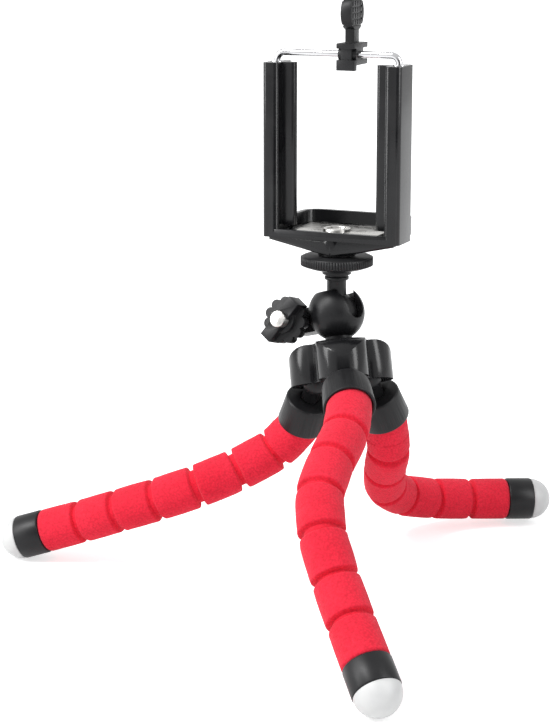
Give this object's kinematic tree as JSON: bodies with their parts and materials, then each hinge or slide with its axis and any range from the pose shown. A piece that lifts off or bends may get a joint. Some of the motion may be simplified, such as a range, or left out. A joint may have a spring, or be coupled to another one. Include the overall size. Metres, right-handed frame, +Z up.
{
  "type": "flexible leg tripod",
  "caption": "Mini tripod with bendable foam legs, a clamped ball head, a knurled locking wheel and a spring phone clip with a sliding bow and claw.",
  "frame": {"origin": "on the floor, straight below the centre of the ball", "axes": "+Z up, X along the clip's bar, the back of the clip faces -Y"},
  "size_m": [0.1714, 0.1994, 0.1871],
  "materials": {
    "gloss_plastic": "glossy black moulded plastic",
    "satin_plastic": "satin black moulded plastic",
    "foam": "bright red closed cell foam",
    "wire": "bare soft aluminium wire",
    "tip": "white translucent rubber",
    "chrome": "bright chrome plated steel",
    "steel": "plain nickel plated steel"
  },
  "bodies": {
    "hub": {"hub": "gloss_plastic", "hub_screw": "steel", "ball_housing": "satin_plastic", "clamp_bolt": "steel"},
    "knob": {"clamp_knob": "satin_plastic"},
    "ball": {"ball_stem": "satin_plastic", "mount_screw": "steel"},
    "wheel": {"lock_wheel": "satin_plastic"},
    "clip": {"clip_frame": "gloss_plastic", "clip_under_cover": "gloss_plastic", "thread_plate": "steel", "rod_bushes": "chrome", "bow_springs": "chrome"},
    "bow": {"slide_bow": "chrome", "bow_stops": "chrome"},
    "claw": {"claw": "satin_plastic"},
    "left_stud": {"left_stud": "satin_plastic"},
    "left_link_1": {"left_cap": "satin_plastic", "left_wire": "wire", "left_foam_1": "foam"},
    "left_link_2": {"left_foam_2": "foam"},
    "left_link_3": {"left_foam_3": "foam"},
    "left_link_4": {"left_foam_4": "foam"},
    "left_link_5": {"left_foam_5": "foam"},
    "left_link_6": {"left_foam_6": "foam"},
    "left_link_7": {"left_foam_7": "foam", "left_band": "satin_plastic", "left_tip": "tip"},
    "front_stud": {"front_stud": "satin_plastic"},
    "front_link_1": {"front_cap": "satin_plastic", "front_wire": "wire", "front_foam_1": "foam"},
    "front_link_2": {"front_foam_2": "foam"},
    "front_link_3": {"front_foam_3": "foam"},
    "front_link_4": {"front_foam_4": "foam"},
    "front_link_5": {"front_foam_5": "foam"},
    "front_link_6": {"front_foam_6": "foam"},
    "front_link_7": {"front_foam_7": "foam", "front_band": "satin_plastic", "front_tip": "tip"},
    "right_stud": {"right_stud": "satin_plastic"},
    "right_link_1": {"right_cap": "satin_plastic", "right_wire": "wire", "right_foam_1": "foam"},
    "right_link_2": {"right_foam_2": "foam"},
    "right_link_3": {"right_foam_3": "foam"},
    "right_link_4": {"right_foam_4": "foam"},
    "right_link_5": {"right_foam_5": "foam"},
    "right_link_6": {"right_foam_6": "foam"},
    "right_link_7": {"right_foam_7": "foam", "right_band": "satin_plastic", "right_tip": "tip"}
  },
  "joints": [
    {"name": "clamp_knob_turn", "type": "hinge", "parent": "hub", "child": "knob", "pos_m": [-0.01227, 0.00052, 0.08243], "axis": [-0.1348, -0.9563, 0.2596], "range_deg": [-180, 180]},
    {"name": "ball_tilt", "type": "hinge", "parent": "hub", "child": "ball", "pos_m": [0, 0, 0.0869], "axis": [0.2924, 0.9563, 0], "range_deg": [-35, 70]},
    {"name": "lock_wheel_turn", "type": "hinge", "parent": "ball", "child": "wheel", "pos_m": [0, 0, 0.1033], "axis": [0, 0, 1], "continuous": true},
    {"name": "clip_turn", "type": "hinge", "parent": "ball", "child": "clip", "pos_m": [0, 0, 0.1109], "axis": [0, 0, 1], "continuous": true},
    {"name": "bow_slide", "type": "slide", "parent": "clip", "child": "bow", "axis": [0, 0, 1], "range_m": [0, 0.03], "deforming": ["bow_springs"]},
    {"name": "claw_turn", "type": "hinge", "parent": "bow", "child": "claw", "pos_m": [0, -0.0005, 0.1687], "axis": [1, 0, 0], "range_deg": [-40, 60]},
    {"name": "left_swing", "type": "hinge", "parent": "hub", "child": "left_stud", "pos_m": [-0.00487, -0.00541, 0.06509], "axis": [0.6966, 0.7156, -0.0525], "range_deg": [-22, 4]},
    {"name": "left_turn", "type": "hinge", "parent": "left_stud", "child": "left_link_1", "pos_m": [-0.00487, -0.00541, 0.06509], "axis": [-0.3886, 0.3147, -0.866], "range_deg": [-30, 30]},
    {"name": "left_bend_1", "type": "hinge", "parent": "left_link_1", "child": "left_link_2", "pos_m": [-0.02059, -0.00112, 0.03989], "axis": [-0.3703, 0.9289, 0], "range_deg": [-22, 22], "deforming": ["left_wire"]},
    {"name": "left_bend_2", "type": "hinge", "parent": "left_link_2", "child": "left_link_3", "pos_m": [-0.03132, -0.00783, 0.03344], "axis": [0.3325, 0.2204, -0.917], "range_deg": [-22, 22], "deforming": ["left_wire"]},
    {"name": "left_bend_3", "type": "hinge", "parent": "left_link_3", "child": "left_link_4", "pos_m": [-0.04225, -0.01548, 0.02859], "axis": [0.4152, -0.9097, 0], "range_deg": [-22, 22], "deforming": ["left_wire"]},
    {"name": "left_bend_4", "type": "hinge", "parent": "left_link_4", "child": "left_link_5", "pos_m": [-0.05511, -0.01869, 0.0235], "axis": [-0.3435, -0.0698, 0.9366], "range_deg": [-22, 22], "deforming": ["left_wire"]},
    {"name": "left_bend_5", "type": "hinge", "parent": "left_link_5", "child": "left_link_6", "pos_m": [-0.06829, -0.02078, 0.01864], "axis": [-0.1133, 0.9936, 0], "range_deg": [-22, 22], "deforming": ["left_wire"]},
    {"name": "left_bend_6", "type": "hinge", "parent": "left_link_6", "child": "left_link_7", "pos_m": [-0.08152, -0.0217, 0.01355], "axis": [0.3312, 0.0468, -0.9424], "range_deg": [-22, 22], "deforming": ["left_wire"]},
    {"name": "front_swing", "type": "hinge", "parent": "hub", "child": "front_stud", "pos_m": [0.00836, -0.01429, 0.07095], "axis": [-0.8867, -0.4567, -0.0716], "range_deg": [-22, 4]},
    {"name": "front_turn", "type": "hinge", "parent": "front_stud", "child": "front_link_1", "pos_m": [0.00836, -0.01429, 0.07095], "axis": [0.4463, -0.8051, -0.3907], "range_deg": [-30, 30]},
    {"name": "front_bend_1", "type": "hinge", "parent": "front_link_1", "child": "front_link_2", "pos_m": [0.01964, -0.04041, 0.05905], "axis": [-0.9849, -0.173, 0], "range_deg": [-22, 22], "deforming": ["front_wire"]},
    {"name": "front_bend_2", "type": "hinge", "parent": "front_link_2", "child": "front_link_3", "pos_m": [0.02057, -0.05372, 0.05419], "axis": [-0.0372, 0.3891, -0.9205], "range_deg": [-22, 22], "deforming": ["front_wire"]},
    {"name": "front_bend_3", "type": "hinge", "parent": "front_link_3", "child": "front_link_4", "pos_m": [0.02212, -0.06638, 0.04797], "axis": [0.959, 0.2835, 0], "range_deg": [-22, 22], "deforming": ["front_wire"]},
    {"name": "front_bend_4", "type": "hinge", "parent": "front_link_4", "child": "front_link_5", "pos_m": [0.02734, -0.07662, 0.03962], "axis": [0.4045, -0.5488, 0.7316], "range_deg": [-22, 22], "deforming": ["front_wire"]},
    {"name": "front_bend_5", "type": "hinge", "parent": "front_link_5", "child": "front_link_6", "pos_m": [0.03426, -0.08285, 0.02891], "axis": [-0.6901, -0.7237, 0], "range_deg": [-22, 22], "deforming": ["front_wire"]},
    {"name": "front_bend_6", "type": "hinge", "parent": "front_link_6", "child": "front_link_7", "pos_m": [0.04217, -0.09077, 0.02016], "axis": [-0.4255, 0.4255, -0.7986], "range_deg": [-22, 22], "deforming": ["front_wire"]},
    {"name": "right_swing", "type": "hinge", "parent": "hub", "child": "right_stud", "pos_m": [0.01036, 0.00196, 0.06647], "axis": [0.975, 0.0799, 0.2076], "range_deg": [-22, 4]},
    {"name": "right_turn", "type": "hinge", "parent": "right_stud", "child": "right_link_1", "pos_m": [0.01036, 0.00196, 0.06647], "axis": [0.142, 0.4951, -0.8572], "range_deg": [-30, 30]},
    {"name": "right_bend_1", "type": "hinge", "parent": "right_link_1", "child": "right_link_2", "pos_m": [0.01226, 0.0163, 0.03923], "axis": [0.9389, 0.3443, 0], "range_deg": [-22, 22], "deforming": ["right_wire"]},
    {"name": "right_bend_2", "type": "hinge", "parent": "right_link_2", "child": "right_link_3", "pos_m": [0.00723, 0.02576, 0.02992], "axis": [0.2754, -0.6035, -0.7483], "range_deg": [-22, 22], "deforming": ["right_wire"]},
    {"name": "right_bend_3", "type": "hinge", "parent": "right_link_3", "child": "right_link_4", "pos_m": [0.00345, 0.03562, 0.02042], "axis": [-0.9939, -0.11, 0], "range_deg": [-22, 22], "deforming": ["right_wire"]},
    {"name": "right_bend_4", "type": "hinge", "parent": "right_link_4", "child": "right_link_5", "pos_m": [0.00476, 0.04808, 0.01375], "axis": [0.1231, 0.3452, 0.9304], "range_deg": [-22, 22], "deforming": ["right_wire"]},
    {"name": "right_bend_5", "type": "hinge", "parent": "right_link_5", "child": "right_link_6", "pos_m": [0.01206, 0.05977, 0.01032], "axis": [0.7873, -0.6166, 0], "range_deg": [-22, 22], "deforming": ["right_wire"]},
    {"name": "right_bend_6", "type": "hinge", "parent": "right_link_6", "child": "right_link_7", "pos_m": [0.02185, 0.06991, 0.00859], "axis": [-0.0615, -0.0497, -0.9969], "range_deg": [-22, 22], "deforming": ["right_wire"]}
  ]
}
